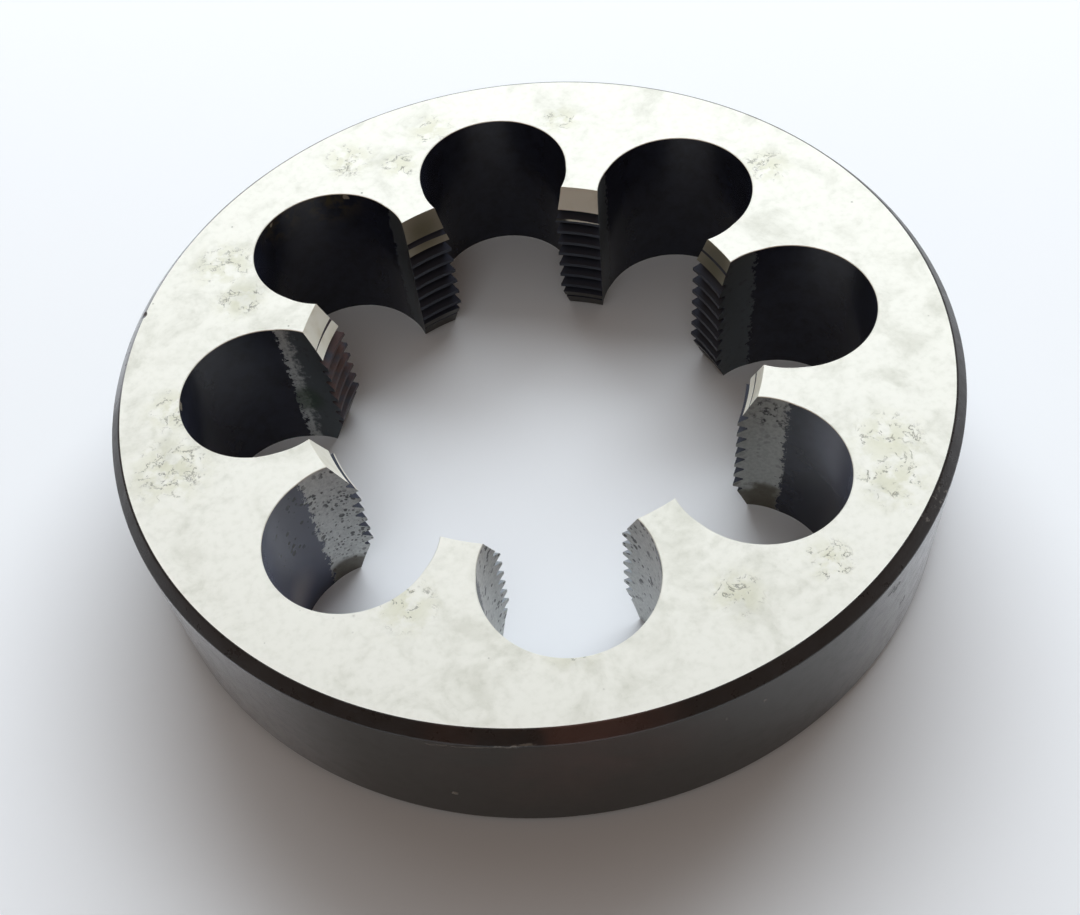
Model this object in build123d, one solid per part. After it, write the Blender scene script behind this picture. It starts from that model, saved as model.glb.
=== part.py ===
from build123d import *
import math
import os

# A round threading die: one turned disc of tool steel that cuts an external screw thread.
# Sizes are in millimetres and angles in degrees. +Z is up, along the thread's axis, and the
# origin is the middle of the lower face. A clearance hole lies on +X.

# The turned blank
die_diameter = 75.0
die_thickness = 16.0
rim_chamfer_depth = 0.9  # measured along the radius
rim_chamfer_height = 1.0  # measured along the axis

# The thread that it cuts, an ISO metric right-hand thread
thread_diameter = 40.0
thread_pitch = 1.5
crest_height = 0.5  # of a crest's middle above the lower face, in the direction of +X

# The lead-in cone at each face
mouth_clearance = 0.7  # mouth radius less the thread's outer radius
lead_length = 3.6

# The clearance holes, which part the thread into lands
hole_count = 8
hole_diameter = 14.5
hole_offset = 3.87  # hole centre beyond the thread's outer radius

# The ground cutting faces: a grinding pin passes along both sides of every land
pin_undersize = 1.62  # hole diameter less pin diameter
grind_depth = 0.24  # taken off the hole's wall where the pin bites deepest
grind_direction = 136.0  # of the pin's offset, from straight outwards to the side

# The two conical recesses in the rim that a holder's screws bear in
recess_diameter = 6.0
recess_angle = 90.0  # of the cone
recess_spread = 90.0  # from one to the other about Z

# Dependent sizes
die_radius = die_diameter / 2
thread_radius = thread_diameter / 2
sharp_height = thread_pitch * math.cos(math.radians(30))  # of the full 60 degree V
minor_radius = thread_radius - sharp_height * 5 / 8
crest_width = thread_pitch / 4
root_width = thread_pitch / 8
mouth_radius = thread_radius + mouth_clearance
hole_radius = hole_diameter / 2
hole_circle_radius = thread_radius + hole_offset
land_step = 360 / hole_count  # angle from one land to the next
land_rise = thread_pitch / hole_count  # height gained by the helix over that angle
pin_radius = hole_radius - pin_undersize / 2
pin_offset = hole_radius - pin_radius + grind_depth

overrun = 1.0  # how far a cutting solid passes the surface that it leaves by
core_radius = minor_radius - overrun  # rough bore, before the teeth are cut


def through(shape):
    """Return a sketch extruded through the die, past both faces."""
    return Pos(0, 0, -overrun) * extrude(shape, die_thickness + 2 * overrun)


def turned(points, arc):
    """Return the solid that a closed outline of (radius, height) points turns about Z."""
    outline = make_face(Polyline(points, close=True))
    return revolve(Plane.XZ * outline, Axis.Z, arc)


def blank():
    """Return the disc with its two rim chamfers and the rough bore."""
    face_radius = die_radius - rim_chamfer_depth
    outline = [
        (core_radius, 0),
        (face_radius, 0),
        (die_radius, rim_chamfer_height),
        (die_radius, die_thickness - rim_chamfer_height),
        (face_radius, die_thickness),
        (core_radius, die_thickness),
    ]
    return turned(outline, 360)


def lead_cone():
    """Return the solid cone that opens the thread at the upper face."""
    slope = (mouth_radius - minor_radius) / lead_length
    below = lead_length + overrun
    return turned(
        [
            (0, die_thickness - below),
            (mouth_radius - slope * below, die_thickness - below),
            (mouth_radius + slope * overrun, die_thickness + overrun),
            (0, die_thickness + overrun),
        ],
        360,
    )


def hole_places():
    """Return the locations of the clearance holes, each turned to face outwards."""
    return PolarLocations(hole_circle_radius, hole_count)


def clearance_holes():
    """Return the solids that cut the clearance holes."""
    return through(Sketch() + hole_places() * Circle(hole_radius))


def grinding_pins(side):
    """Return the pins that grind one side of the holes: side is 1 or -1."""
    angle = math.radians(grind_direction)
    centre = Pos(pin_offset * math.cos(angle), side * pin_offset * math.sin(angle))
    return through(Sketch() + hole_places() * (centre * Circle(pin_radius)))


def thread_form():
    """Return the cutter of one land's teeth, turned about Z from +X to the next hole.

    A land spans so little of a turn that its teeth are level. The helix is in their
    height, which grows by the same step from each land to the next.
    """
    middle_rise = land_rise / 2
    last_turn = math.ceil(die_thickness / thread_pitch)
    rack = []
    for turn in range(-2, last_turn + 1):
        crest = crest_height + middle_rise + turn * thread_pitch
        root = crest + thread_pitch / 2
        rack += [
            (minor_radius, crest - crest_width / 2),
            (minor_radius, crest + crest_width / 2),
            (thread_radius, root - root_width / 2),
            (thread_radius, root + root_width / 2),
        ]
    inside = core_radius - overrun
    return turned([(inside, rack[0][1]), *rack, (inside, rack[-1][1])], land_step)


def fixing_recesses():
    """Return the cones that sink the two recesses, half way up the rim, either side of +Y."""
    half_angle = math.radians(recess_angle / 2)
    depth = recess_diameter / 2 / math.tan(half_angle)
    height = depth + overrun
    lower_middle = (Align.CENTER, Align.CENTER, Align.MIN)
    cone = Cone(0, height * math.tan(half_angle), height, align=lower_middle)
    towards_x = Pos(die_radius - depth, 0, die_thickness / 2) * Rot(0, 90, 0) * cone
    return [Rot(0, 0, 90 + side * recess_spread / 2) * towards_x for side in (-1, 1)]


def round_die():
    """Return the finished die."""
    cone = lead_cone()
    lower_cone = Pos(0, 0, die_thickness) * Rot(180, 0, 0) * cone
    body = blank() - clearance_holes() - grinding_pins(1) - grinding_pins(-1)
    body = body - cone - lower_cone
    form = thread_form()
    for land in range(hole_count):
        body -= Pos(0, 0, land * land_rise) * Rot(0, 0, land * land_step) * form
    for recess in fixing_recesses():
        body -= recess
    return body


os.makedirs("parts", exist_ok=True)
export_step(round_die(), "parts/die.step")
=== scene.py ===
"""A round threading die of tool steel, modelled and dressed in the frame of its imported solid.

One turned disc: a rim with two chamfers, eight clearance holes that open into the threaded
bore, ground cutting faces on both sides of every land, and a lead cone at each face. Its
places are in metres; sizes in this file are in millimetres until they reach Blender.
"""

import logging
import math
from dataclasses import dataclass, field
from enum import Enum
from typing import Any, Callable, Dict, Optional, Sequence, Tuple, Union

import bpy
from mathutils import Matrix, Vector


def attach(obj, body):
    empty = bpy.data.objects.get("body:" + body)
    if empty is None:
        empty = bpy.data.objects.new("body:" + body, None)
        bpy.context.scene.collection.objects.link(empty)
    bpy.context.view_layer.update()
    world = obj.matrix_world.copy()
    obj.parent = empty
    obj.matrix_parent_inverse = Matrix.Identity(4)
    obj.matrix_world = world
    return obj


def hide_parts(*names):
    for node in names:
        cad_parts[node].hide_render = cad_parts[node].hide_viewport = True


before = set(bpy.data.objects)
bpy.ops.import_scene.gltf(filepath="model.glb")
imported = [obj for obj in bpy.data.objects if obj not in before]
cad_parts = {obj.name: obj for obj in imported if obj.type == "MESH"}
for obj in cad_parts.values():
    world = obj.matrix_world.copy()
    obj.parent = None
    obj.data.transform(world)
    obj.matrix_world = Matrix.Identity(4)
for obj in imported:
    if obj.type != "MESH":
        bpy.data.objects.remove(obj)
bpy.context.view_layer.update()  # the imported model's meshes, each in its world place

log = logging.getLogger("die")

Colour = Tuple[float, float, float, float]
Link = Union[float, int, str, Sequence[float], bpy.types.NodeSocket, bpy.types.Node]
Pair = Tuple[float, float]
Place = Tuple[float, float, float]  # x, y and z
Spot = Tuple[float, float, float, float]  # x, y and z of a place and how far it reaches

MM = 0.001  # metres in a millimetre
OVERRUN = 1.0  # mm by which a cutter passes the surface that it leaves by
LEVEL = 0.99  # the least Z of a level face's normal
UPRIGHT = 0.05  # the most Z of an upright face's normal
HALF_FLANK = math.radians(30)  # half the angle between the flanks of the thread

# Settings that many nodes share. A MapRange takes a value (0) from one level (1) to another (2),
# and gives what goes from a third (3) to a fourth (4), or from 0 to 1 where they are left out.
EASED = {"interpolation_type": "SMOOTHSTEP"}
COLOURS = {"data_type": "RGBA"}
TIMES = {"operation": "MULTIPLY"}
TIMES_PLUS = {"operation": "MULTIPLY_ADD"}
PLUS = {"operation": "ADD"}
MINUS = {"operation": "SUBTRACT"}
MOST = {"operation": "MAXIMUM"}
UNSIGNED = {"operation": "ABSOLUTE"}
LENGTH = {"operation": "LENGTH"}


# --------------------------------------------------------------------------------------
# Colours and nodes
# --------------------------------------------------------------------------------------


def linear(code: str) -> Colour:
    """Turn an sRGB hex colour into the linear colour that a node takes.

    Args:
        code: The colour, such as "#A0A0A0".

    Returns:
        Red, green, blue and alpha, linear.
    """

    def channel(text: str) -> float:
        """Return one channel, linear."""
        value = int(text, 16) / 255
        return value / 12.92 if value <= 0.04045 else ((value + 0.055) / 1.055) ** 2.4

    return (channel(code[1:3]), channel(code[3:5]), channel(code[5:7]), 1.0)


def add(tree: bpy.types.NodeTree, kind: str, links: Dict[Any, Link], **settings: Any) -> bpy.types.Node:
    """Add a node with its settings and its links.

    Args:
        tree: The node tree that gets it.
        kind: The node's type, without its "ShaderNode" prefix.
        links: For each input, by name or number, a value, a hex colour, or what feeds it: a
            socket, or a node, which stands for the first of its outputs in use.
        **settings: The node's own properties.

    Returns:
        The new node.
    """
    node = tree.nodes.new("ShaderNode" + kind)
    for name, value in settings.items():
        setattr(node, name, value)
    for name, value in links.items():
        if isinstance(value, str):
            value = linear(value)
        if isinstance(value, bpy.types.Node):
            value = next(output for output in value.outputs if output.enabled)
        if isinstance(value, bpy.types.NodeSocket):
            tree.links.new(value, node.inputs[name])
        else:
            node.inputs[name].default_value = value
    return node


class Pattern:
    """The places and patterns that one finish is painted with, all in millimetres."""

    def __init__(self, tree: bpy.types.NodeTree) -> None:
        """Start from Object coordinates.

        Args:
            tree: The finish's node tree.
        """
        self.tree = tree
        place = self.add("TexCoord", {}).outputs["Object"]
        self.place = self.add("Mapping", {"Vector": place, "Scale": (1 / MM, 1 / MM, 1 / MM)})
        self.x, self.y, self.z = self.add("SeparateXYZ", {0: self.place}).outputs

    def add(self, kind: str, links: Dict[Any, Link], **settings: Any) -> bpy.types.Node:
        """Add a node to this finish's tree."""
        return add(self.tree, kind, links, **settings)

    def cloud(self, size: float, detail: float = 3.0, rough: float = 0.55, warp: float = 0.0,
              along: Place = (1.0, 1.0, 1.0), between: Optional[Pair] = None,
              levels: Pair = (0.0, 1.0)) -> bpy.types.Node:
        """Return soft noise.

        Args:
            size: The size of its blotches in mm.
            detail: How many finer layers it has.
            rough: How strong they are.
            warp: How much the noise is drawn about.
            along: How much longer than that the blotches are along each axis.
            between: Where the noise is eased from and to, if it is.
            levels: What it is eased into.

        Returns:
            A value about 0.5, or one between the levels.
        """
        place = self.add("Mapping", {"Vector": self.place, "Scale": [1 / length for length in along]})
        noise = self.add("TexNoise", {"Vector": place, "Scale": 1 / size, "Detail": detail,
                                      "Roughness": rough, "Distortion": warp})
        if between is None:
            return noise
        return self.add("MapRange", dict(enumerate((noise, *between, *levels))), **EASED)

    def spots(self, places: Sequence[Spot], between: Optional[Pair] = None,
              levels: Pair = (0.0, 1.0)) -> Link:
        """Return round patches: 1 at each place, eased to 0 at its reach.

        Args:
            places: The places.
            between: Where the patches are eased once more from and to, if they are.
            levels: What they are eased into.

        Returns:
            The strongest of the patches.
        """
        share: Link = 0.0
        for x, y, z, reach in places:
            gap = self.add("VectorMath", {0: self.place, 1: (x, y, z)}, operation="DISTANCE")
            patch = self.add("MapRange", {0: gap, 1: 0.0, 2: reach, 3: 1.0, 4: 0.0}, **EASED)
            share = self.add("Math", {0: share, 1: patch}, **MOST)
        if between is None:
            return share
        return self.add("MapRange", dict(enumerate((share, *between, *levels))), **EASED)

    def turn(self) -> bpy.types.Node:
        """Return the turn about the disc's axis from +X, in degrees from -180 to 180."""
        angle = self.add("Math", {0: self.y, 1: self.x}, operation="ARCTAN2")
        return self.add("Math", {0: angle, 1: math.degrees(1)}, **TIMES)

    def pits(self, size: float, share: float, soft: float = 0.05) -> bpy.types.Node:
        """Return small round pits.

        Args:
            size: How far apart their places are in mm.
            share: The largest pit's radius as a share of that.
            soft: The same for half of a pit's soft edge.

        Returns:
            1 in a pit and 0 between pits.
        """
        cells = self.add("TexVoronoi", {"Vector": self.place, "Scale": 1 / size, "Randomness": 1.0})
        chance = self.add("SeparateColor", {0: cells.outputs["Color"]})
        radius = self.add("Math", {0: chance, 1: 2.0}, operation="POWER")
        radius = self.add("Math", {0: radius, 1: share}, **TIMES)
        inside = self.add("Math", {0: radius, 1: cells}, **MINUS)
        return self.add("MapRange", {0: inside, 1: -soft, 2: soft}, **EASED)

    def cracks(self, size: float, width: float) -> bpy.types.Node:
        """Return broken, wandering hair cracks.

        Args:
            size: How far a crack goes before it turns, in mm.
            width: Its width as a share of that.

        Returns:
            1 in a crack and 0 between cracks.
        """
        middle = self.add("Math", {0: self.cloud(size, 5.0, 0.62, 0.4), 1: 0.5}, **MINUS)
        offset = self.add("Math", {0: middle}, **UNSIGNED)
        line = self.add("MapRange", {0: offset, 1: 0.0, 2: width, 3: 1.0, 4: 0.0}, **EASED)
        unbroken = self.cloud(size * 0.7, 3.0, 0.6, between=(0.46, 0.6))
        return self.add("Math", {0: line, 1: unbroken}, **TIMES)

    def coats(self, colour: Link, *coats: Tuple[Link, Link]) -> Link:
        """Return a colour with others laid over it.

        Args:
            colour: The lowest colour.
            *coats: For each coat, from the lowest up, how much of it shows and its colour.

        Returns:
            What the eye sees of them all.
        """
        for share, coat in coats:
            # 6 and 7 are a Mix node's two colours
            colour = self.add("Mix", {0: share, 6: colour, 7: coat}, **COLOURS)
        return colour


def steel(name: str, dress: Callable[[Pattern], Dict[str, Link]]) -> bpy.types.Material:
    """Make one metal finish.

    Args:
        name: The material's name.
        dress: Given the pattern, returns the shader's inputs.

    Returns:
        The material.
    """
    material = bpy.data.materials.new(name)
    material.use_nodes = True
    tree = material.node_tree
    tree.nodes.clear()
    shader = add(tree, "BsdfPrincipled", {"Metallic": 1.0, **dress(Pattern(tree))})
    add(tree, "OutputMaterial", {"Surface": shader})
    return material


# --------------------------------------------------------------------------------------
# Finishes
# --------------------------------------------------------------------------------------


class Surface(Enum):
    """The surfaces of the die, each with its own finish."""

    FACE = "ground_face"
    RIM = "blackened_rim"
    CHAMFER = "blackened_chamfer"
    HOLE = "drilled_and_ground_wall"
    LEAD = "ground_lead"
    THREAD = "cut_thread"


Metals = Dict[Surface, bpy.types.Material]


@dataclass(frozen=True)
class GroundFace:
    """Tool steel, surface ground and then handled.

    The eye sees a pale satin metal, slightly warm, with dull clouds in it. Here and there
    damp has bitten a web of fine dark pits with a faint green-grey bloom round it.
    """

    bright: str = "#F8F9F1"
    dull: str = "#DCDED3"
    # a real green-grey bloom round the pits
    bloom_and_reflection: str = "#D6D7B8"
    pit: str = "#62645A"
    cloud_size: float = 4.5
    grain_size: float = 0.6
    bloom_size: float = 1.6
    crack_size: float = 1.6
    crack_width: float = 0.03  # as a share of that
    pit_gap: float = 1.3  # from one pit of the lone ones to the next
    pit_share: float = 0.10
    line_size: float = 0.16  # spacing of the grinding lines along X, coarser than real so that they show
    relief: float = 0.02  # depth of a pit
    line_relief: float = 0.1  # depth of a grinding line as a share of that
    height: float = 16.0  # of the face that the damp has bitten
    metallic: float = 0.5  # so finely rough that half of it scatters as paper does
    roughness: float = 0.4
    dull_roughness: float = 0.12  # how much rougher it is where it is dull
    # each web of pits: x, y and reach
    webs: Tuple[Tuple[float, float, float], ...] = (
        (-14.1, 28.8, 4.0), (-5.5, 31.3, 3.5), (-26.9, 16.6, 4.5), (-31.8, -7.2, 5.5), (-31.5, -0.5, 4.0),
        (27.6, -16.1, 4.5), (26.8, -20.0, 4.5), (12.3, -27.9, 3.2), (-12.9, -24.2, 4.0), (-25.5, 11.7, 3.5),
        (-0.8, -29.6, 3.5), (7.7, 29.6, 3.0), (-9.0, 26.8, 3.0), (19.9, -26.3, 3.0), (26.0, 18.0, 3.5),
    )

    def dress(self, p: Pattern) -> Dict[str, Link]:
        """Paint the ground face.

        Args:
            p: The pattern that it is painted with.

        Returns:
            The shader's inputs.
        """
        clouds = p.cloud(self.cloud_size, 5.0, 0.62, 0.5, between=(0.46, 0.7), levels=(0.0, 0.6))
        grain = p.cloud(self.grain_size, 4.0, 0.6, between=(0.42, 0.75), levels=(0.0, 0.3))
        dulled = p.add("Math", {0: clouds, 1: grain}, use_clamp=True, **PLUS)
        damp = p.spots([(x, y, self.height, reach) for x, y, reach in self.webs])
        patches = p.cloud(self.bloom_size, 3.0, 0.6, between=(0.38, 0.58), levels=(0.0, 0.5))
        bloomed_and_reflected = p.add("Math", {0: damp, 1: patches}, **TIMES)
        deep = p.add("MapRange", {0: damp, 1: 0.15, 2: 0.6, 3: 0.0, 4: 0.7}, **EASED)
        web = p.add("Math", {0: deep, 1: p.cracks(self.crack_size, self.crack_width)}, **TIMES)
        scattered = p.cloud(6.0, between=(0.5, 0.62), levels=(0.0, 0.6))
        lone = p.add("Math", {0: p.pits(self.pit_gap, self.pit_share), 1: scattered}, **TIMES)
        pitted = p.add("Math", {0: web, 1: lone}, **MOST)
        rough = p.add("Math", {0: dulled, 1: self.dull_roughness, 2: self.roughness}, **TIMES_PLUS)
        lines = p.cloud(self.line_size, 1.0, 0.5, along=(60.0, 1.0, 1.0))
        raised = p.add("Math", {0: lines, 1: self.line_relief}, **TIMES)
        height = p.add("Math", {0: raised, 1: pitted}, **MINUS)
        return {
            "Base Color": p.coats(self.bright, (dulled, self.dull), (bloomed_and_reflected, self.bloom_and_reflection), (pitted, self.pit)),
            "Metallic": self.metallic,
            "Roughness": rough,
            "Normal": p.add("Bump", {"Height": height, "Distance": self.relief * MM, "Strength": 1.0}),
        }


@dataclass(frozen=True)
class BlackenedSkin:
    """Turned tool steel that keeps its black hardening skin.

    The eye sees dark satin metal with fine turned lines, that mirrors a pale table where
    it is seen at a slant. A reddish tint is painted on the front of it, a painted reflection
    of the warm table in shade; both sides of the front are painted as bare grey metal, a
    painted reflection of the table; and there are a few small dents and bright chips.
    """

    skin: str = "#202220"
    worn: str = "#9E9A92"
    # painted reflection: the reddish tint on the front, for the warm table in shade that it mirrors
    bloom_and_reflection: str = "#412F2B"
    # painted reflection: bare metal painted on the sides, so that they mirror more of the table
    mirror_bare: str = "#DDE0E6"
    line_size: float = 0.22  # spacing of the turned lines, coarser than real so that they show
    coarse: float = 0.0  # share of it that is rough scale
    side_mirror_share: float = 0.0  # share of bare metal painted on the sides beside the front, a painted reflection of the table
    relief: float = 0.02  # height of the scale
    line_relief: float = 0.15  # height of a turned line as a share of that
    dent_relief: float = 6.0  # depth of a dent as a share of that
    ior: float = 1.62  # of the oxide
    roughness: float = 0.16
    front: float = -90.0  # the turn that the front faces, in degrees
    # where the corner below the chamfer has been scraped: from and to in degrees, and its height there
    scrape: Tuple[float, float, float, float] = (-110.7, -96.1, 14.3, 15.2)
    scrape_width: Pair = (0.03, 0.12)  # to where it is bright, and to where it ends
    # where the reddish tint of the painted reflection lies, on the front
    bloomed_and_reflected: Tuple[Spot, ...] = ((-2.0, -37.0, 13.0, 15.0),)
    grains: Tuple[Spot, ...] = ((27.9, -23.1, 15.5, 1.6), (29.9, -21.8, 15.2, 2.0))
    dents: Tuple[Spot, ...] = ((24.3, -28.6, 13.7, 0.7), (24.9, -28.0, 13.2, 0.8), (26.7, -26.3, 7.8, 0.7))
    chips: Tuple[Spot, ...] = ((-11.6, -35.7, 5.4, 0.45),)
    # spots painted as bare grey metal: a painted reflection
    mirror_spots: Tuple[Spot, ...] = ()

    def dress(self, p: Pattern) -> Dict[str, Link]:
        """Paint the black skin.

        Args:
            p: The pattern that it is painted with.

        Returns:
            The shader's inputs.
        """
        turn = p.turn()
        mottle = p.cloud(3.0, 5.0, 0.6, between=(0.35, 0.7), levels=(0.85, 1.15))
        skin = p.add("VectorMath", {0: linear(self.skin)[:3], "Scale": mottle}, operation="SCALE")
        # the reddish tint on the front is a painted reflection of the table in shade
        warm = p.cloud(5.0, between=(0.3, 0.65), levels=(0.0, 0.8))
        bloomed_and_reflected = p.add("Math", {0: p.spots(self.bloomed_and_reflected), 1: warm}, **TIMES)
        flecks = p.cloud(0.4, 3.0, 0.7, between=(0.54, 0.68), levels=(0.0, 0.45))
        broken = p.add("Math", {0: p.spots(self.grains, (0.05, 0.5)), 1: flecks}, **TIMES)
        hollow = p.cloud(0.6, between=(0.35, 0.5))
        dented = p.add("Math", {0: p.spots(self.dents, (0.15, 0.5)), 1: hollow}, **TIMES)
        worn = self.worn_through(p, turn, broken)
        # the sides beside the front are painted as bare metal: a painted reflection of the table
        mirroring_sides = self.mirroring_sides(p, turn, dented)
        bright = p.add("Math", {0: worn, 1: 0.5}, **TIMES)
        coats = ((bloomed_and_reflected, self.bloom_and_reflection), (worn, self.worn), (mirroring_sides, self.mirror_bare))
        return {
            "Base Color": p.coats(skin, *coats),
            "Metallic": p.add("Math", {0: bright, 1: mirroring_sides}, **MOST),
            "IOR": self.ior,
            "Roughness": p.cloud(1.2, 4.0, 0.6, between=(0.3, 0.7),
                                 levels=(self.roughness - 0.04, self.roughness + 0.08)),
            "Normal": self.relieved(p, broken, dented),
        }

    def worn_through(self, p: Pattern, turn: Link, broken: Link) -> Link:
        """Mark where the skin is worn through to the steel.

        Args:
            p: The pattern that it is painted with.
            turn: The turn about the axis, in degrees.
            broken: How far grains of it have broken out.

        Returns:
            A share, strongest on the scraped line and the chips.
        """
        patches = p.cloud(7.0, between=(0.5, 0.6), levels=(0.0, 0.3))
        pinholes = p.add("Math", {0: p.pits(2.6, 0.09), 1: patches}, **TIMES)
        worn = p.add("Math", {0: pinholes, 1: broken}, **MOST)
        worn = p.add("Math", {0: worn, 1: self.scraped(p, turn)}, **MOST)
        return p.add("Math", {0: worn, 1: p.spots(self.chips, (0.2, 0.5), (0.0, 0.7))}, **MOST)

    def scraped(self, p: Pattern, turn: Link) -> Link:
        """Mark the bright line scraped along the corner below the chamfer.

        Args:
            p: The pattern that it is painted with.
            turn: The turn about the axis, in degrees.

        Returns:
            A share, 0 away from the line.
        """
        start, stop, low, high = self.scrape
        height = p.add("MapRange", {0: turn, 1: start, 2: stop, 3: low, 4: high})
        wander = p.cloud(1.0, between=(0.3, 0.7), levels=(-0.1, 0.1))
        above = p.add("Math", {0: p.add("Math", {0: p.z, 1: height}, **MINUS), 1: wander}, **MINUS)
        away = p.add("Math", {0: above}, **UNSIGNED)
        narrow, wide = self.scrape_width
        across = p.add("MapRange", {0: away, 1: narrow, 2: wide, 3: 0.55, 4: 0.0}, **EASED)
        begun = p.add("MapRange", {0: turn, 1: start, 2: start + 2}, **EASED)
        unended = p.add("MapRange", {0: turn, 1: stop - 2, 2: stop, 3: 1.0, 4: 0.0}, **EASED)
        within = p.add("Math", {0: begun, 1: unended}, **TIMES)
        patchy = p.add("Math", {0: within, 1: p.cloud(0.8, between=(0.38, 0.55))}, **TIMES)
        return p.add("Math", {0: patchy, 1: across}, **TIMES)

    def mirroring_sides(self, p: Pattern, turn: Link, dented: Link) -> Link:
        """Mark where the skin is painted as bare grey metal, left and right of the front and at a few spots: a
        painted reflection of the table that these sides mirror.

        Args:
            p: The pattern that it is painted with.
            turn: The turn about the axis, in degrees.
            dented: How far it is dented, where no bare metal is painted.

        Returns:
            A share of bare metal.
        """
        aside = p.add("Math", {0: p.add("Math", {0: turn, 1: self.front}, **MINUS)}, **UNSIGNED)
        beyond_front = p.add("MapRange", {0: aside, 1: 28.0, 2: 52.0, 3: 0.0, 4: self.side_mirror_share}, **EASED)
        before_back = p.add("MapRange", {0: aside, 1: 75.0, 2: 110.0, 3: 1.0, 4: 0.0}, **EASED)
        mirroring_sides = p.add("Math", {0: beyond_front, 1: before_back}, **TIMES)
        from_left = p.add("MapRange", {0: turn, 1: -172.0, 2: -140.0}, **EASED)
        mirroring_sides = p.add("Math", {0: mirroring_sides, 1: from_left}, **TIMES)
        mirroring_sides = p.add("Math", {0: mirroring_sides, 1: p.add("Math", {0: 1.0, 1: dented}, **MINUS)}, **TIMES)
        return p.add("Math", {0: mirroring_sides, 1: p.spots(self.mirror_spots, (0.1, 0.6), (0.0, 0.45))}, **MOST)

    def relieved(self, p: Pattern, broken: Link, dented: Link) -> bpy.types.Node:
        """Raise the turned lines and the scale, and sink the dents.

        Args:
            p: The pattern that it is painted with.
            broken: How far grains of the skin have broken out.
            dented: How far it is dented.

        Returns:
            The surface's normal.
        """
        lines = p.cloud(self.line_size, 2.0, 0.6, along=(90.0, 90.0, 1.0))
        scale = p.add("Math", {0: p.cloud(0.5, 4.0, 0.7), 1: self.coarse, 2: broken}, **TIMES_PLUS)
        height = p.add("Math", {0: lines, 1: self.line_relief, 2: scale}, **TIMES_PLUS)
        height = p.add("Math", {0: dented, 1: -self.dent_relief, 2: height}, **TIMES_PLUS)
        return p.add("Bump", {"Height": height, "Distance": self.relief * MM, "Strength": 1.0})


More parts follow.
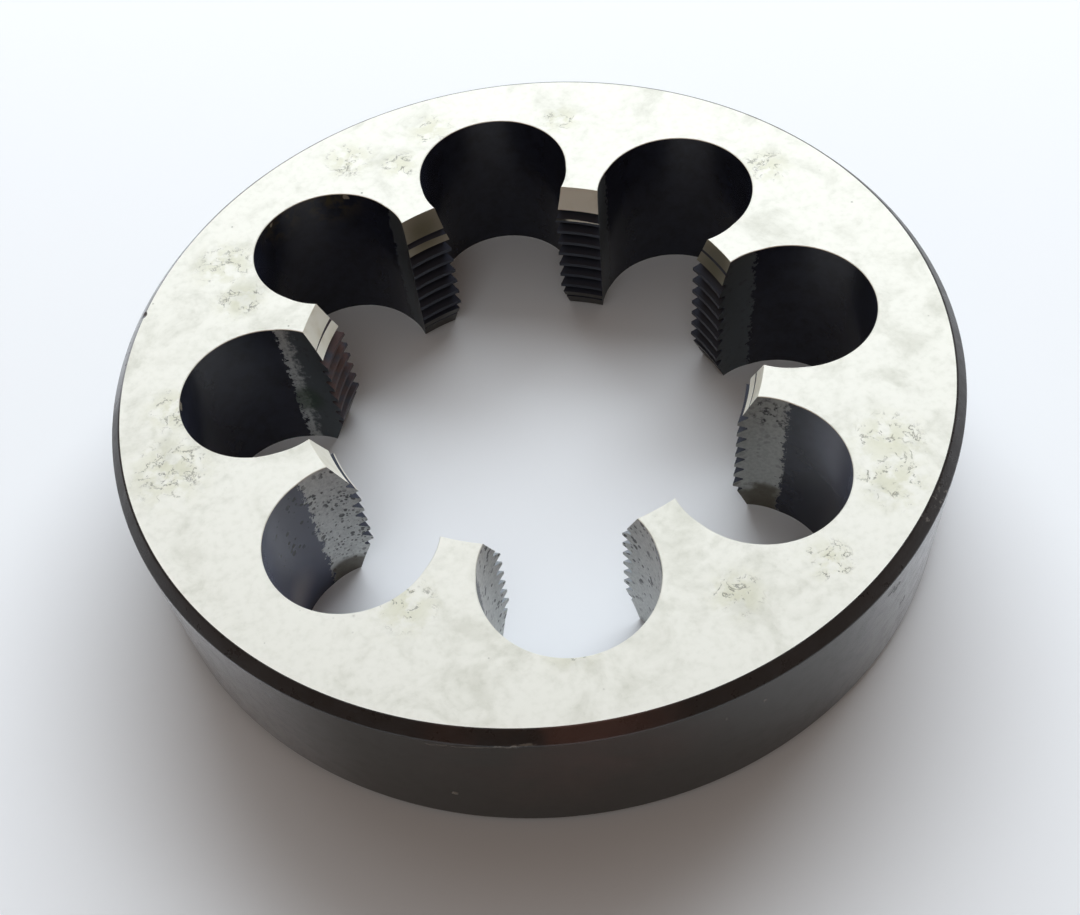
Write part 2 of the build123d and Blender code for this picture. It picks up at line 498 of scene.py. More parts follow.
@dataclass(frozen=True)
class HoleWall:
    """Drilled steel under its black skin, with a strip ground back to grey by a grinding pin.

    The eye sees blue-black walls, and beside the teeth a matt grey face with a ragged edge,
    dark specks where the pin left the skin, and level grinding lines. The strips in the back
    holes are painted dark grey, a painted shade. The strip on the right has a dull film and a
    brown stain at its foot, and the strip in the front left hole is painted darker and browner
    towards its foot.
    """

    skin: str = "#282B38"
    blacker: str = "#17181E"  # clouds in the skin
    painted_reflection_skin: str = "#5C6072"  # painted reflection: paler skin where a hole mirrors the room
    speckle: str = "#0C0C10"
    smudge: str = "#908A8D"
    tint: str = "#4A4330"
    chip: str = "#9C9484"
    ground: str = "#E2E4E1"
    duller: str = "#B2B5B3"  # clouds in the ground strip
    # painted shade on the strips in the back holes
    painted_shade_grey: str = "#545A5E"
    film: str = "#5B594D"
    speck: str = "#242426"
    green: str = "#31452F"
    # brown at the foot: a stain on the right-hand strip, and darker and browner towards the foot of the front
    # left strip
    foot_brown: str = "#453B26"
    hole_count: int = 8
    hole_radius: float = 7.25
    circle: float = 23.87  # radius of the circle that the holes stand on
    ragged: float = 0.26  # by which the pin's bite seems to vary
    line_size: float = 0.14  # spacing of the grinding lines, coarser than real so that they show
    relief: float = 0.02  # depth of a speck that the pin left
    line_relief: float = 0.2  # depth of a grinding line as a share of that
    ior: float = 1.45  # of the skin's oxide
    metallic: float = 0.12  # of the ground strip
    roughness: float = 0.26
    ground_roughness: float = 0.2  # how much rougher the ground strip is
    cleaned: Tuple[Spot, ...] = ((7.0, -22.0, 8.0, 16.0),)
    # where the strips in the back holes are painted dark grey: painted shade
    painted_shade_spots: Tuple[Spot, ...] = ((19.7, 5.9, 8.0, 18.0), (11.7, 18.7, 8.0, 18.0), (-11.7, 18.7, 8.0, 18.0))
    half_painted_shade_spots: Tuple[Spot, ...] = ((-19.7, 5.9, 8.0, 18.0),)
    filmed: Tuple[Spot, ...] = ((19.3, -10.0, 8.0, 18.0),)
    speckled: Tuple[Spot, ...] = ((-18.3, -9.8, 8.0, 9.0),)
    scuffed: Tuple[Spot, ...] = ((19.6, -10.6, 14.0, 3.2),)
    greened: Tuple[Spot, ...] = ((-21.6, 6.9, 6.0, 3.2),)
    # where the strips turn darker and browner towards their foot
    dark_foot: Tuple[Spot, ...] = ((19.3, -10.0, 1.0, 7.0), (-19.3, -10.8, -0.6, 4.5))
    # the front holes' walls are painted paler here: a painted reflection of the room
    painted_reflection_spots: Tuple[Spot, ...] = ((-22.8, -13.5, 9.0, 16.0), (24.5, -17.0, 14.0, 9.0))
    pitted: Tuple[Spot, ...] = ((-22.8, -12.4, 11.0, 5.0), (-20.5, -10.5, 14.5, 4.0))
    smudged: Tuple[Spot, ...] = ((-23.3, -14.1, 4.0, 3.2),)
    tinted: Tuple[Spot, ...] = ((-16.4, 24.1, 15.8, 4.5), (-21.0, 21.5, 15.8, 4.0))
    chipped: Tuple[Spot, ...] = (
        (-22.1, 21.4, 15.6, 0.7), (-20.4, 22.6, 15.7, 0.5), (-14.8, 23.7, 15.6, 0.6), (-31.1, 0.2, 15.6, 0.8))

    def dress(self, p: Pattern) -> Dict[str, Link]:
        """Paint the wall.

        Args:
            p: The pattern that it is painted with.

        Returns:
            The shader's inputs.
        """
        true_bite = self.bite(p)
        offset = p.add("Math", {0: p.cloud(0.7, 4.0, 0.75), 1: 0.5}, **MINUS)
        bite = p.add("Math", {0: offset, 1: self.ragged, 2: true_bite}, **TIMES_PLUS)
        seen = p.add("MapRange", {0: bite, 1: 0.025, 2: 0.045}, **EASED)
        bitten = p.add("MapRange", {0: true_bite, 1: 0.004, 2: 0.012}, **EASED)
        ground = p.add("Math", {0: seen, 1: bitten}, **TIMES)
        ground = p.add("Math", {0: ground, 1: p.spots(self.cleaned, (0.55, 0.6))}, **MOST)
        strip, left = self.strip(p, bite)
        level = p.cloud(2.0, between=(0.3, 0.7), levels=(-0.7, 0.7))
        # the strips turn darker and browner towards their foot at the listed places
        low = p.add("MapRange", {0: p.add("Math", {0: p.z, 1: level}, **PLUS), 1: 2.4, 2: 4.0, 3: 0.85, 4: 0.0},
                    **EASED)
        dark_foot = p.add("Math", {0: p.spots(self.dark_foot, (0.1, 0.35)), 1: low}, **TIMES)
        dark_foot = p.add("Math", {0: dark_foot, 1: ground}, **TIMES)
        lines = p.cloud(self.line_size, 2.0, 0.6, along=(40.0, 40.0, 1.0))
        raised = p.add("Math", {0: lines, 1: self.line_relief}, **TIMES)
        height = p.add("Math", {0: raised, 1: p.add("Math", {0: left, 1: ground}, **TIMES)}, **MINUS)
        return {
            "Base Color": p.coats(self.black(p), (ground, strip), (dark_foot, self.foot_brown)),
            "Metallic": p.add("Math", {0: ground, 1: self.metallic}, **TIMES),
            "IOR": self.ior,
            "Roughness": p.add("Math", {0: ground, 1: self.ground_roughness, 2: self.roughness},
                               **TIMES_PLUS),
            "Normal": p.add("Bump", {"Height": height, "Distance": self.relief * MM, "Strength": 1.0}),
        }

    def bite(self, p: Pattern) -> bpy.types.Node:
        """Measure how far the wall stands back from the drilled circle.

        Args:
            p: The pattern that it is painted with.

        Returns:
            How deep in mm the grinding pin has gone into the wall.
        """
        step = math.tau / self.hole_count
        turn = p.add("Math", {0: p.y, 1: p.x}, operation="ARCTAN2")
        holes = p.add("Math", {0: p.add("Math", {0: turn, 1: step}, operation="DIVIDE")}, operation="ROUND")
        to_hole = p.add("Math", {0: holes, 1: step}, **TIMES)
        beyond = p.add("Math", {0: turn, 1: to_hole}, **MINUS)
        flat = p.add("VectorMath", {0: p.place, 1: (1.0, 1.0, 0.0)}, **TIMES)
        radius = p.add("VectorMath", {0: flat}, **LENGTH)
        ahead = p.add("Math", {0: radius, 1: p.add("Math", {0: beyond}, operation="COSINE")}, **TIMES)
        outwards = p.add("Math", {0: ahead, 1: self.circle}, **MINUS)
        aside = p.add("Math", {0: radius, 1: p.add("Math", {0: beyond}, operation="SINE")}, **TIMES)
        from_centre = p.add("VectorMath", {0: p.add("CombineXYZ", {0: outwards, 1: aside})}, **LENGTH)
        return p.add("Math", {0: from_centre, 1: self.hole_radius}, **MINUS)

    def strip(self, p: Pattern, bite: Link) -> Tuple[Link, Link]:
        """Paint the ground strip.

        Args:
            p: The pattern that it is painted with.
            bite: How deep in mm the grinding pin seems to have gone.

        Returns:
            The strip's colour, and how much of the black skin the pin has left on it.
        """
        dulled = p.cloud(0.35, 3.0, 0.7, between=(0.3, 0.75), levels=(0.0, 0.7))
        # painted shade: the strips in the back holes, and the deep part of the left hole's strip, are painted
        # dark grey
        deep = p.add("MapRange", {0: bite, 1: 0.07, 2: 0.15, 3: 0.35, 4: 1.0}, **EASED)
        half_painted_shade_spots = p.add("Math", {0: p.spots(self.half_painted_shade_spots, (0.1, 0.4)), 1: deep}, **TIMES)
        painted_shade_spots = p.add("Math", {0: p.spots(self.painted_shade_spots, (0.1, 0.4)), 1: half_painted_shade_spots}, **MOST)
        filmed = p.spots(self.filmed, (0.1, 0.4))
        thin_film = p.add("Math", {0: filmed, 1: 0.5}, **TIMES)
        shade_and_film = p.add("Math", {0: painted_shade_spots, 1: filmed}, **MOST)
        showing = p.add("MapRange", {0: shade_and_film, 1: 0.0, 2: 0.5, 3: 0.85, 4: 0.25}, **EASED)
        left = p.add("Math", {0: p.pits(0.5, 0.62), 1: p.cloud(2.2, between=(0.36, 0.56))}, **TIMES)
        left = p.add("Math", {0: left, 1: showing}, **TIMES)
        speckled = p.spots(self.speckled, (0.1, 0.6), (0.0, 0.75))
        left = p.add("Math", {0: left, 1: p.add("Math", {0: p.pits(0.3, 0.5), 1: speckled}, **TIMES)}, **MOST)
        scuffs = p.add("Math", {0: p.spots(self.scuffed, (0.1, 0.5)), 1: p.cracks(1.2, 0.1)}, **TIMES)
        dark = p.add("Math", {0: left, 1: scuffs}, **MOST)
        greened = p.spots(self.greened, (0.1, 0.8), (0.0, 0.7))
        coats = ((dulled, self.duller), (painted_shade_spots, self.painted_shade_grey), (thin_film, self.film), (dark, self.speck),
                 (greened, self.green))
        return p.coats(self.ground, *coats), left

    def black(self, p: Pattern) -> Link:
        """Paint the part of the wall that keeps its skin.

        Args:
            p: The pattern that it is painted with.

        Returns:
            Its colour.
        """
        clouded = p.cloud(1.6, 4.0, 0.65, between=(0.35, 0.75), levels=(0.0, 0.6))
        speckled = p.add("Math", {0: p.pits(0.6, 0.5), 1: p.spots(self.pitted, (0.1, 0.6))}, **TIMES)
        smudged = p.add("Math", {0: p.spots(self.smudged), 1: 0.8}, **TIMES)
        tinted = p.add("Math", {0: p.spots(self.tinted), 1: p.cloud(1.2, 4.0, between=(0.4, 0.6))}, **TIMES)
        chips = p.add("Math", {0: p.spots(self.chipped), 1: p.cloud(0.3, between=(0.3, 0.6))}, **TIMES)
        chipped = p.add("MapRange", {0: chips, 1: 0.25, 2: 0.4}, **EASED)
        # the paler skin is a painted reflection of the room
        coats = ((clouded, self.blacker), (p.spots(self.painted_reflection_spots, (0.1, 0.8)), self.painted_reflection_skin),
                 (speckled, self.speckle), (smudged, self.smudge), (tinted, self.tint), (chipped, self.chip))
        return p.coats(self.skin, *coats)


@dataclass(frozen=True)
class GroundLead:
    """The lead cones: ground bright at the upper face, still black at the lower one.

    The eye sees plain cream-grey steel with fine lines round the cone, darker olive on two
    lands at the back.
    """

    bright: str = "#EFEDE0"
    straw: str = "#C7BDA0"
    olive: str = "#55533F"
    skin: str = "#34332F"
    # the two back lands, painted darker olive
    olive_lands: Tuple[Spot, ...] = ((18.5, 7.5, 14.5, 9.0), (-7.6, 18.5, 14.5, 8.0))
    clean: Tuple[Spot, ...] = ((-19.0, 7.9, 14.5, 9.0),)
    blackened: Tuple[Spot, ...] = ((5.4, 18.9, 12.3, 2.2),)
    black_below: Pair = (6.0, 8.0)  # heights between which bright gives way to black
    line_size: float = 0.12  # spacing of the lines round the cone, coarser than real so that they show
    relief: float = 0.004  # depth of a line
    metallic: float = 0.25
    roughness: float = 0.38

    def dress(self, p: Pattern) -> Dict[str, Link]:
        """Paint the cones.

        Args:
            p: The pattern that they are painted with.

        Returns:
            The shader's inputs.
        """
        strawed = p.cloud(3.0, between=(0.45, 0.75), levels=(0.0, 0.5))
        olive_lands = p.add("Math", {0: p.spots(self.olive_lands), 1: 0.9}, **TIMES)
        low, high = self.black_below
        below = p.add("MapRange", {0: p.z, 1: low, 2: high, 3: 1.0, 4: 0.0}, **EASED)
        black = p.add("Math", {0: below, 1: p.spots(self.blackened, (0.1, 0.5))}, **MOST)
        lines = p.cloud(self.line_size, 2.0, 0.6, along=(60.0, 60.0, 1.0))
        return {
            "Base Color": p.coats(self.bright, (strawed, self.straw), (olive_lands, self.olive), (black, self.skin)),
            "Metallic": p.spots(self.clean, (0.1, 0.6), (self.metallic, 0.0)),
            "Roughness": self.roughness,
            "Normal": p.add("Bump", {"Height": lines, "Distance": self.relief * MM, "Strength": 1.0}),
        }


@dataclass(frozen=True)
class CutThread:
    """Thread flanks, cut and then blackened in hardening.

    The eye sees black teeth with a dull blue cast, brown where oil has baked on, and grey
    beside the front hole where a brush has worn them.
    """

    skin: str = "#2E323D"
    brown: str = "#483029"
    pale: str = "#8A8F93"
    browned: Tuple[Spot, ...] = ((-18.3, 7.6, 9.0, 9.0),)
    paled: Tuple[Spot, ...] = ((7.2, -18.0, 8.0, 12.0), (-5.6, -18.6, 8.0, 10.0))
    drag_size: float = 0.2  # spacing of the lines that the tap has dragged along the flanks
    relief: float = 0.012  # depth of a line
    ior: float = 1.33
    roughness: float = 0.4

    def dress(self, p: Pattern) -> Dict[str, Link]:
        """Paint the flanks.

        Args:
            p: The pattern that they are painted with.

        Returns:
            The shader's inputs.
        """
        baked = p.add("Math", {0: p.spots(self.browned), 1: p.cloud(1.5, 4.0, between=(0.3, 0.6))}, **TIMES)
        brushed = p.spots(self.paled, (0.05, 0.5), (0.0, 0.8))
        drag = p.cloud(self.drag_size, 3.0, 0.65, along=(12.0, 12.0, 1.0))
        return {
            "Base Color": p.coats(self.skin, (baked, self.brown), (brushed, self.pale)),
            "Metallic": 0.0,
            "IOR": self.ior,
            "Roughness": self.roughness,
            "Normal": p.add("Bump", {"Height": drag, "Distance": self.relief * MM, "Strength": 1.0}),
        }


def finishes() -> Metals:
    """Make every finish.

    Returns:
        Each surface's material.
    """
    kinds = {
        Surface.FACE: GroundFace(),
        # the rim's sides beside the front are painted as bare metal, a painted reflection
        Surface.RIM: BlackenedSkin(side_mirror_share=0.4),
        # the chamfer's reddish tint on the front is a painted reflection as well
        Surface.CHAMFER: BlackenedSkin(skin="#2B292A", bloom_and_reflection="#5A403A", coarse=1.0, ior=1.42, roughness=0.3,
                                       # the chamfer's spot on the left is painted as bare metal, a painted
                                       # reflection
                                       mirror_spots=((-35.0, 13.5, 15.5, 19.0),)),
        Surface.HOLE: HoleWall(),
        Surface.LEAD: GroundLead(),
        Surface.THREAD: CutThread(),
    }
    return {surface: steel(surface.value, kind.dress) for surface, kind in kinds.items()}


# --------------------------------------------------------------------------------------
# Bench tools
# --------------------------------------------------------------------------------------


def only(thing: bpy.types.Object) -> None:
    """Select one object alone and make it the active one."""
    bpy.ops.object.select_all(action="DESELECT")
    thing.select_set(True)
    bpy.context.view_layer.objects.active = thing


def settle(thing: bpy.types.Object) -> None:
    """Put an object's place, turn and scale into its mesh."""
    only(thing)
    bpy.ops.object.transform_apply(location=True, rotation=True, scale=True)


def pick(thing: bpy.types.Object, test: Callable[[bpy.types.MeshPolygon], bool]) -> None:
    """Enter edit mode with only some faces selected.

    Args:
        thing: The object to edit.
        test: Says of a face whether it is selected.
    """
    only(thing)
    bpy.ops.object.mode_set(mode="EDIT")
    bpy.ops.mesh.select_mode(type="FACE")
    bpy.ops.mesh.select_all(action="DESELECT")
    bpy.ops.object.mode_set(mode="OBJECT")
    for face in thing.data.polygons:
        face.select = test(face)
    bpy.ops.object.mode_set(mode="EDIT")


def open_whole(thing: bpy.types.Object) -> None:
    """Enter edit mode with the whole of an object selected."""
    only(thing)
    bpy.ops.object.mode_set(mode="EDIT")
    bpy.ops.mesh.select_all(action="SELECT")


def done() -> None:
    """Leave edit mode."""
    bpy.ops.object.mode_set(mode="OBJECT")


def turned_bar(name: str, radius: float, low: float, high: float, sides: int) -> bpy.types.Object:
    """Add an upright round bar on the thread's axis.

    Args:
        name: The object's name.
        radius: Its radius in mm.
        low: The height of its lower end in mm.
        high: The height of its upper end in mm.
        sides: How many flats stand for the circle.

    Returns:
        The bar.
    """
    bpy.ops.object.select_all(action="DESELECT")
    bpy.ops.mesh.primitive_cylinder_add(vertices=sides, radius=radius * MM, depth=(high - low) * MM,
                                        location=(0, 0, (low + high) / 2 * MM))
    bar = bpy.context.active_object
    bar.name = name
    settle(bar)
    return bar


def draw_out(bar: bpy.types.Object, steps: Sequence[Pair]) -> None:
    """Draw both ends of a bar outwards, each step to a new height and radius.

    Args:
        bar: A bar that is the same about the die's mid-height.
        steps: For each step, how far it goes outwards and the radius that it ends at, in mm.
    """
    for side in (-1, 1):
        pick(bar, lambda face: side * face.normal.z > LEVEL)
        for reach, radius in steps:
            bpy.ops.mesh.extrude_region_move(TRANSFORM_OT_translate={"value": (0, 0, side * reach * MM)})
            done()
            now = max(math.hypot(*v.co.xy) for v in bar.data.vertices if v.select) / MM
            bpy.ops.object.mode_set(mode="EDIT")
            bpy.ops.transform.resize(value=(radius / now, radius / now, 1))
        done()


def cut(work: bpy.types.Object, cutter: bpy.types.Object, surface: Surface,
        metals: Metals, upright: Optional[Surface] = None) -> None:
    """Cut a solid out of the work, and give the cut its finish.

    Args:
        work: The object that is cut.
        cutter: The solid that is taken away, and then thrown out.
        surface: What the cut leaves.
        metals: Each surface's material.
        upright: What its upright faces leave, where that is another surface.
    """
    cutter.data.materials.clear()
    cutter.data.materials.append(metals[surface])
    if upright is not None:
        cutter.data.materials.append(metals[upright])
        for face in cutter.data.polygons:
            face.material_index = int(abs(face.normal.z) < UPRIGHT)
    only(work)
    modifier = work.modifiers.new("cut", "BOOLEAN")
    modifier.object = cutter
    modifier.operation = "DIFFERENCE"
    modifier.solver = "EXACT"
    modifier.material_mode = "TRANSFER"
    bpy.ops.object.modifier_apply(modifier="cut")
    bpy.data.objects.remove(cutter)


def mend(work: bpy.types.Object, sliver: float = 0.0001) -> None:
    """Take out the slivers that the cuts leave.

    Args:
        work: The object that was cut.
        sliver: The width in mm below which an edge or a face goes.
    """
    pick(work, lambda face: True)
    bpy.ops.mesh.dissolve_degenerate(threshold=sliver * MM)
    done()


# --------------------------------------------------------------------------------------
# The die
# --------------------------------------------------------------------------------------


@dataclass
class Blank:
    """The turned disc with its two rim chamfers."""

    radius: float = 37.5
    thickness: float = 16.0
    chamfer_depth: float = 0.9
    chamfer_height: float = 1.0
    corner: float = 0.12  # rounding of the chamfer's two corners
    upright_lean: float = 0.3  # the most Z of a normal that still belongs to the rim
    sides: int = 360

    def build(self, metals: Metals) -> bpy.types.Object:
        """Turn the blank.

        Args:
            metals: Each surface's material.

        Returns:
            The disc, with the rim's and the faces' finishes.
        """
        low, high = self.chamfer_height, self.thickness - self.chamfer_height
        disc = turned_bar("die_body", self.radius, low, high, self.sides)
        draw_out(disc, [(self.chamfer_height, self.radius - self.chamfer_depth)])
        self.round_corners(disc)
        for surface in (Surface.RIM, Surface.CHAMFER, Surface.FACE):
            disc.data.materials.append(metals[surface])
        for face in disc.data.polygons:
            lean = abs(face.normal.z)
            face.material_index = (lean > self.upright_lean) + (lean > LEVEL)
        return disc

    def round_corners(self, disc: bpy.types.Object) -> None:
        """Round the corners between the rim, its chamfers and the faces.

        Args:
            disc: The disc with sharp corners.
        """
        only(disc)
        bpy.ops.object.mode_set(mode="EDIT")
        bpy.ops.mesh.select_mode(type="EDGE")
        bpy.ops.mesh.select_all(action="DESELECT")
        done()
        points = disc.data.vertices
        for edge in disc.data.edges:
            first, second = (points[i].co for i in edge.vertices)
            edge.select = math.isclose(first.z, second.z, abs_tol=0.01 * MM)
        bpy.ops.object.mode_set(mode="EDIT")
        bpy.ops.mesh.bevel(offset=self.corner * MM, segments=2, affect="EDGES")
        done()


@dataclass
class ClearanceHoles:
    """The eight holes that part the thread into lands and let the chips out."""

    count: int = 8
    radius: float = 7.25
    circle: float = 23.87  # radius of the circle that they stand on
    edge: float = 0.05  # break of their edges at both faces
    sides: int = 128

    def ring(self, radius: float, outwards: float, aside: float, thickness: float) -> bpy.types.Object:
        """Return a ring of bars, one at each hole.

        Args:
            radius: The bars' radius in mm.
            outwards: How far each stands from its hole's centre, away from the axis.
            aside: How far it stands to the side.
            thickness: The die's thickness.

        Returns:
            One object that holds all the bars, flared to break the edges at both faces.
        """
        bar = turned_bar("hole_cutter", radius, self.edge, thickness - self.edge, self.sides)
        draw_out(bar, [(self.edge + OVERRUN, radius + self.edge + OVERRUN)])
        open_whole(bar)
        bpy.ops.transform.translate(value=((self.circle + outwards) * MM, aside * MM, 0))
        bpy.ops.mesh.spin(steps=self.count - 1, dupli=True, angle=math.tau * (1 - 1 / self.count),
                          center=(0, 0, 0), axis=(0, 0, 1))
        done()
        return bar

    def drill(self, work: bpy.types.Object, thickness: float, metals: Metals) -> None:
        """Drill the holes through the work."""
        cut(work, self.ring(self.radius, 0.0, 0.0, thickness), Surface.FACE, metals, upright=Surface.HOLE)


@dataclass
class CuttingFaces:
    """The faces that a grinding pin leaves on both sides of every land."""

    pin_radius: float = 6.44
    offset: float = 1.05  # of the pin's centre from the hole's
    direction: float = 136.0  # of that offset, from straight outwards, in degrees

    def grind(self, work: bpy.types.Object, holes: ClearanceHoles, thickness: float,
              metals: Metals) -> None:
        """Grind both sides of every land.

        Args:
            work: The drilled disc.
            holes: The holes that the pin goes round in.
            thickness: The die's thickness.
            metals: Each surface's material.
        """
        angle = math.radians(self.direction)
        outwards, aside = self.offset * math.cos(angle), self.offset * math.sin(angle)
        for side in (1, -1):
            pins = holes.ring(self.pin_radius, outwards, side * aside, thickness)
            cut(work, pins, Surface.FACE, metals, upright=Surface.HOLE)


@dataclass
class Thread:
    """The bore, its lead cones and the teeth."""

    radius: float = 20.0
    pitch: float = 1.5
    start: float = 0.5  # height of a crest's middle in the direction of +X
    mouth: float = 20.7
    lead: float = 3.6
    waist: float = 1.0  # how far inside the crests the lead cones' cutter is narrowest
    reach_in: float = 0.3  # how far inside the crests the thread's cutter starts
    sides: int = 240  # flats in a turn
    bore_sides: int = 254  # another count, so that the flats of bore and thread don't fall together
    stray: Pair = (0.22, 0.12)  # by which the thread runs off the die's centre

    @property
    def minor(self) -> float:
        """Return the radius of the crests."""
        return self.radius - self.pitch * math.cos(HALF_FLANK) * 5 / 8

    def bore(self, work: bpy.types.Object, thickness: float, metals: Metals) -> None:
        """Bore the die to the crests, along the thread's own axis.

        Args:
            work: The disc with its holes.
            thickness: The die's thickness.
            metals: Each surface's material.
        """
        bar = turned_bar("bore_cutter", self.minor, -OVERRUN, thickness + OVERRUN, self.bore_sides)
        self.set_over(bar)
        cut(work, bar, Surface.THREAD, metals)

    def lead_in(self, work: bpy.types.Object, thickness: float, edge: float,
                metals: Metals) -> None:
        """Open both ends with the lead cone, true to the die's centre.

        Args:
            work: The bored disc.
            thickness: The die's thickness.
            edge: How far the cone's edge at the face is broken.
            metals: Each surface's material.
        """
        slope = (self.mouth - self.minor) / self.lead
        waist = self.minor - self.waist
        depth = (self.mouth - waist) / slope
        at_edge = self.mouth - slope * edge
        bar = turned_bar("lead_cutter", waist, depth, thickness - depth, self.sides)
        draw_out(bar, [(depth - edge, at_edge), (edge + OVERRUN, at_edge + edge + OVERRUN)])
        cut(work, bar, Surface.LEAD, metals)

    def set_over(self, cutter: bpy.types.Object) -> None:
        """Move a cutter from the die's centre to the thread's axis."""
        only(cutter)
        bpy.ops.transform.translate(value=(self.stray[0] * MM, self.stray[1] * MM, 0))
        settle(cutter)

    def teeth(self, work: bpy.types.Object, thickness: float, metals: Metals) -> None:
        """Cut the right-hand thread.

        Args:
            work: The disc with its bore and lead cones.
            thickness: The die's thickness.
            metals: Each surface's material.
        """
        cutter = self.groove()
        self.wind(cutter, math.ceil(thickness / self.pitch) + 2)
        self.set_over(cutter)
        cut(work, cutter, Surface.THREAD, metals)

    def groove(self) -> bpy.types.Object:
        """Draw one groove's outline, upright over +X.

        Returns:
            A closed wire, two turns below the first groove of the die.
        """
        inside = self.minor - self.reach_in
        root_height = self.start + self.pitch / 2 - 2 * self.pitch
        root_width = self.pitch / 8
        bpy.ops.object.select_all(action="DESELECT")
        bpy.ops.mesh.primitive_plane_add(size=1, rotation=(math.pi / 2, 0, 0))
        form = bpy.context.active_object
        form.name = "thread_cutter"
        settle(form)
        for corner in form.data.vertices:
            radius = self.radius if corner.co.x > 0 else inside
            half = root_width / 2 + (self.radius - radius) * math.tan(HALF_FLANK)
            height = root_height + math.copysign(half, corner.co.z)
            corner.co = Vector((radius, 0, height)) * MM
        open_whole(form)
        bpy.ops.mesh.delete(type="ONLY_FACE")
        done()
        return form

    def wind(self, form: bpy.types.Object, turns: int) -> None:
        """Wind a groove's outline up into a closed helix.

        Args:
            form: The outline.
            turns: How many turns it makes.
        """
        helix = form.modifiers.new("helix", "SCREW")
        helix.angle = math.tau
        helix.screw_offset = self.pitch * MM
        helix.iterations = turns
        helix.steps = helix.render_steps = self.sides
        helix.use_smooth_shade = False
        bpy.ops.object.modifier_apply(modifier="helix")
        bpy.ops.object.mode_set(mode="EDIT")
        bpy.ops.mesh.select_mode(type="EDGE")
        bpy.ops.mesh.select_all(action="DESELECT")
        bpy.ops.mesh.select_non_manifold()  # the two open ends
        bpy.ops.mesh.edge_face_add()
        bpy.ops.mesh.select_all(action="SELECT")
        bpy.ops.mesh.normals_make_consistent(inside=False)
        bpy.ops.mesh.quads_convert_to_tris(quad_method="FIXED", ngon_method="BEAUTY")
        done()


@dataclass
class FixingRecesses:
    """The two cones sunk in the rim that a holder's screws bear in."""

    mouth: float = 6.0
    spread: float = 90.0
    toward: float = 90.0  # the direction half way between them
    sides: int = 64
    apex: float = 0.001  # what is nearer together than this is one point

    def sink(self, work: bpy.types.Object, blank: Blank, metals: Metals) -> None:
        """Sink both recesses half way up the rim.

        Args:
            work: The plain disc.
            blank: The sizes that it was turned to.
            metals: Each surface's material.
        """
        deep = self.mouth / 2 + OVERRUN
        middle = blank.radius - self.mouth / 2 + deep / 2
        for side in (-1, 1):
            bpy.ops.object.select_all(action="DESELECT")
            bpy.ops.mesh.primitive_cone_add(vertices=self.sides, radius1=0, radius2=deep * MM, depth=deep * MM,
                                            location=(middle * MM, 0, blank.thickness / 2 * MM),
                                            rotation=(0, math.pi / 2, 0))
            cone = bpy.context.active_object
            settle(cone)
            open_whole(cone)
            bpy.ops.mesh.remove_doubles(threshold=self.apex * MM)
            bpy.ops.mesh.normals_make_consistent(inside=False)
            done()
            cone.matrix_world = Matrix.Rotation(math.radians(self.toward + side * self.spread / 2), 4, "Z")
            settle(cone)
            cut(work, cone, Surface.RIM, metals)


@dataclass
class Nick:
    """A small mark in the upper corner of the rim, struck with a rough little pebble."""

    place: Place = (-34.60, 11.75, 16.0)
    reach: Place = (0.45, 0.26, 0.35)  # the pebble's half sizes
    turn: float = 70.0  # about Z, in degrees
    rough: float = 0.05  # how far the pebble's corners stray
    seed: int = 3

    def strike(self, work: bpy.types.Object, metals: Metals) -> None:
        """Strike the mark into the work.

        Args:
            work: The die.
            metals: Each surface's material.
        """
        bpy.ops.object.select_all(action="DESELECT")
        bpy.ops.mesh.primitive_ico_sphere_add(subdivisions=2, radius=1.0,
                                              location=[length * MM for length in self.place],
                                              rotation=(0, 0, math.radians(self.turn)),
                                              scale=[length * MM for length in self.reach])
        pebble = bpy.context.active_object
        settle(pebble)
        pick(pebble, lambda face: True)
        bpy.ops.transform.vertex_random(offset=self.rough * MM, uniform=0.0, normal=0.0, seed=self.seed)
        done()
        cut(work, pebble, Surface.CHAMFER, metals)


@dataclass
class ThreadingDie:
    """The whole die, one piece of steel."""

    blank: Blank = field(default_factory=Blank)
    recesses: FixingRecesses = field(default_factory=FixingRecesses)
    holes: ClearanceHoles = field(default_factory=ClearanceHoles)
    faces: CuttingFaces = field(default_factory=CuttingFaces)
    thread: Thread = field(default_factory=Thread)
    nick: Nick = field(default_factory=Nick)
    smooth: float = 28.0  # the sharpest turn in degrees that shades as a curve

    def build(self) -> bpy.types.Object:
        """Make the die, hide the imported one and attach the new mesh to the root body.

        Returns:
            The finished mesh.
        """
        metals = finishes()
        thickness = self.blank.thickness
        body = self.blank.build(metals)
        self.recesses.sink(body, self.blank, metals)
        self.holes.drill(body, thickness, metals)
        self.faces.grind(body, self.holes, thickness, metals)
        self.thread.bore(body, thickness, metals)
        self.thread.lead_in(body, thickness, self.holes.edge, metals)
        self.thread.teeth(body, thickness, metals)
        self.nick.strike(body, metals)
        mend(body)
        bpy.ops.object.shade_smooth_by_angle(angle=math.radians(self.smooth))
        weigh = body.modifiers.new("flat_faces", "WEIGHTED_NORMAL")
        weigh.keep_sharp = True
        weigh.weight = 100  # the largest there is: broad faces stay flat up to their edges
        bpy.ops.object.modifier_apply(modifier="flat_faces")
        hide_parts("die")
        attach(body, "root")
        return body


# --------------------------------------------------------------------------------------
# The studio
# --------------------------------------------------------------------------------------


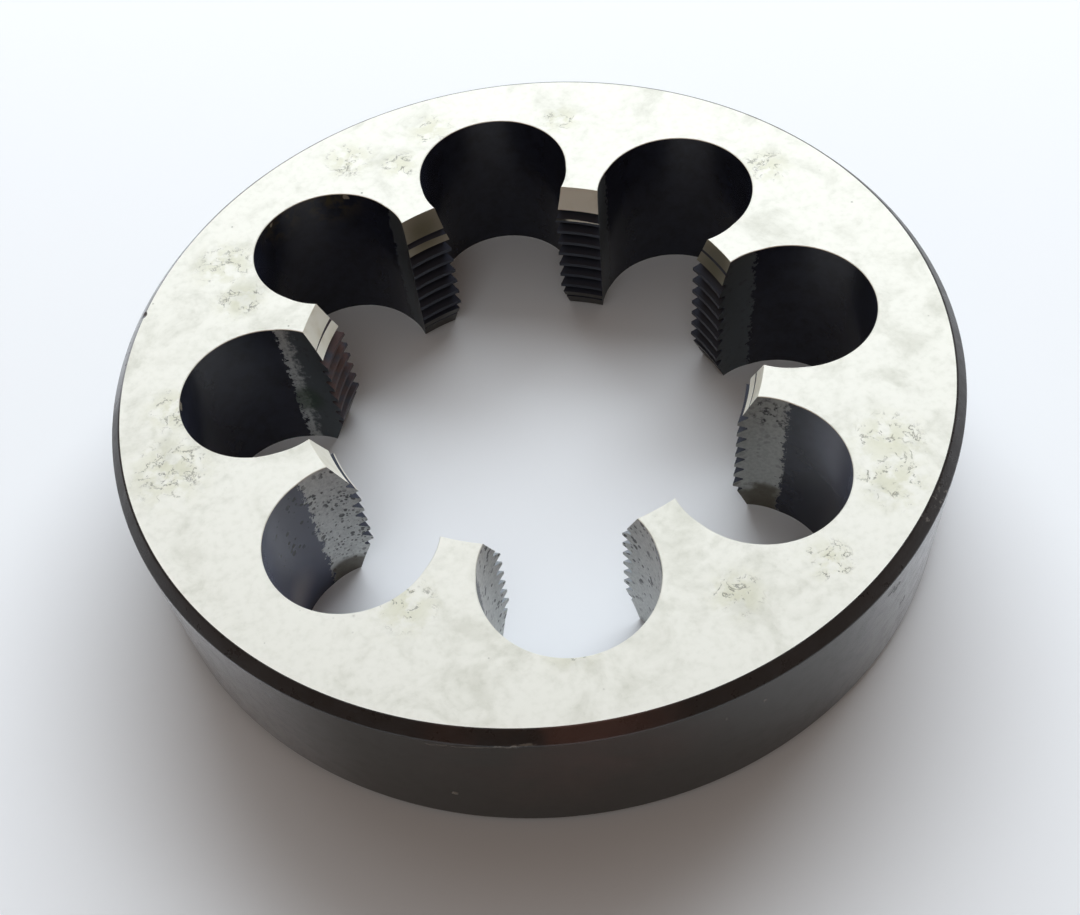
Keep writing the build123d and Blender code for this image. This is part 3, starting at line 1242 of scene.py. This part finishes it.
@dataclass
class Camera:
    """The camera, placed in mm."""

    place: Place = (-3.604, -77.629, 103.585)
    aim: Place = (-4.829, -9.265, 8.0)
    roll: float = -10.088  # in degrees
    lens: float = 43.892
    sensor: float = 36.0
    shift: Pair = (0.0424, 0.0327)  # as a share of the frame's width
    nearest: float = 5.0  # what is nearer isn't seen

    def build(self) -> bpy.types.Object:
        """Set up the camera.

        Returns:
            The camera, made the scene's own.
        """
        data = bpy.data.cameras.new("view")
        data.lens = self.lens
        data.sensor_width = self.sensor
        data.sensor_fit = "HORIZONTAL"
        data.shift_x, data.shift_y = self.shift
        data.clip_start = self.nearest * MM
        camera = bpy.data.objects.new("view", data)
        bpy.context.scene.collection.objects.link(camera)
        eye = Vector(self.place) * MM
        forward = (Vector(self.aim) * MM - eye).normalized()
        level = forward.cross(Vector((0, 0, 1))).normalized()
        upright = level.cross(forward)
        turn = math.radians(self.roll)
        right = level * math.cos(turn) + upright * math.sin(turn)
        up = right.cross(forward)
        camera.matrix_world = Matrix.Translation(eye) @ Matrix((right, up, -forward)).transposed().to_4x4()
        bpy.context.scene.camera = camera
        return camera


@dataclass(frozen=True)
class Lamp:
    """A soft lamp, turned to the die, that the steel doesn't mirror."""

    name: str
    colour: str
    turn: float  # about the die, from +X, in degrees
    rise: float  # of its middle above the table, in degrees
    size: Pair  # metres
    power: float  # watts
    distance: float = 0.8  # metres

    def hang(self) -> None:
        """Hang the lamp."""
        lamp = bpy.data.lights.new(self.name, "AREA")
        lamp.shape = "RECTANGLE"
        lamp.size, lamp.size_y = self.size
        lamp.energy = self.power
        lamp.color = linear(self.colour)[:3]
        holder = bpy.data.objects.new(self.name, lamp)
        turn, rise = math.radians(self.turn), math.radians(self.rise)
        toward = Vector((math.cos(rise) * math.cos(turn), math.cos(rise) * math.sin(turn), math.sin(rise)))
        holder.location = toward * self.distance
        holder.rotation_euler = toward.to_track_quat("Z", "Y").to_euler()
        holder.visible_glossy = False  # the steel mirrors the painted room instead
        bpy.context.scene.collection.objects.link(holder)


@dataclass
class Studio:
    """A pale table top, a wide window behind the die and a dim room in front of it.

    The window lights the table and throws the shadows, and the ceiling in front softens
    them. What the steel mirrors is the room: bright behind the die and dim in front, at a
    level where metal shows its own colour.
    """

    table_colour: str = "#F0F2F5"
    table_size: float = 4.0  # metres
    backdrop_colour: str = "#EFF3F7"
    window: Lamp = Lamp("window", "#F1F9FF", 74.0, 35.5, (0.96, 0.53), 9.8)
    ceiling: Lamp = Lamp("ceiling", "#F4FBFF", 254.0, 60.0, (0.30, 0.36), 0.62)
    wall_colour: str = "#FFFFFF"
    wall_toward: Place = (0.1, 0.73, 0.68)  # the direction of the bright wall's middle
    wall_edge: Pair = (0.66, 0.88)  # the cosine from that at which the wall begins, and is full
    wall_level: float = 1.12  # strength of the bright wall behind the die
    wall_top: float = 0.55  # the same, high up
    wall_fade: Pair = (0.6, 0.92)  # the sine of the height at which it starts to fade, and has faded
    room_colour: str = "#FFCCA0"
    room_level: float = 0.12  # strength of the dim room in front
    room_mirrored: float = 0.22  # the same, as the steel mirrors it

    def build(self) -> None:
        """Lay the table top, hang the lamps and paint the room."""
        self.lay_table()
        self.window.hang()
        self.ceiling.hang()
        self.paint_room()
        bpy.context.scene.view_settings.view_transform = "Standard"

    def lay_table(self) -> None:
        """Lay the table top, which is not part of the object."""
        bpy.ops.object.select_all(action="DESELECT")
        bpy.ops.mesh.primitive_plane_add(size=self.table_size)
        table = bpy.context.active_object
        table.name = "table_top"
        material = bpy.data.materials.new("table_top")
        material.use_nodes = True
        tree = material.node_tree
        tree.nodes.clear()
        shader = add(tree, "BsdfDiffuse", {"Color": self.table_colour})
        add(tree, "OutputMaterial", {"Surface": shader})
        table.data.materials.append(material)

    def paint_room(self) -> None:
        """Paint the room's light, and the pale backdrop that shows past the table."""
        world = bpy.data.worlds.new("room")
        world.use_nodes = True
        tree = world.node_tree
        tree.nodes.clear()
        toward = add(tree, "TexCoord", {}).outputs["Generated"]
        ray = add(tree, "LightPath", {}).outputs
        wall = add(tree, "VectorMath", {0: toward, 1: self.wall_toward}, operation="DOT_PRODUCT")
        share = add(tree, "MapRange", dict(enumerate((wall, *self.wall_edge))), **EASED)
        height = add(tree, "SeparateXYZ", {0: toward}).outputs["Z"]
        fade = add(tree, "MapRange", dict(enumerate((height, *self.wall_fade, self.wall_level, self.wall_top))))
        level = add(tree, "MapRange", {0: ray["Is Glossy Ray"], 3: self.room_level, 4: self.room_mirrored})
        bright = add(tree, "Background", {"Color": self.wall_colour, "Strength": fade})
        dim = add(tree, "Background", {"Color": self.room_colour, "Strength": level})
        light = add(tree, "MixShader", {0: share, 1: dim, 2: bright})
        backdrop = add(tree, "Background", {"Color": self.backdrop_colour, "Strength": 1.0})
        shown = add(tree, "MixShader", {0: ray["Is Camera Ray"], 1: light, 2: backdrop})
        add(tree, "OutputWorld", {"Surface": shown})
        bpy.context.scene.world = world


def main() -> None:
    """Build the studio and the die, and log the die's face count."""
    logging.basicConfig(level=logging.INFO, format="%(name)s: %(message)s")
    Camera().build()
    Studio().build()
    die = ThreadingDie().build()
    log.info("%s: %d faces", die.name, len(die.data.polygons))


if __name__ == "__main__":
    main()
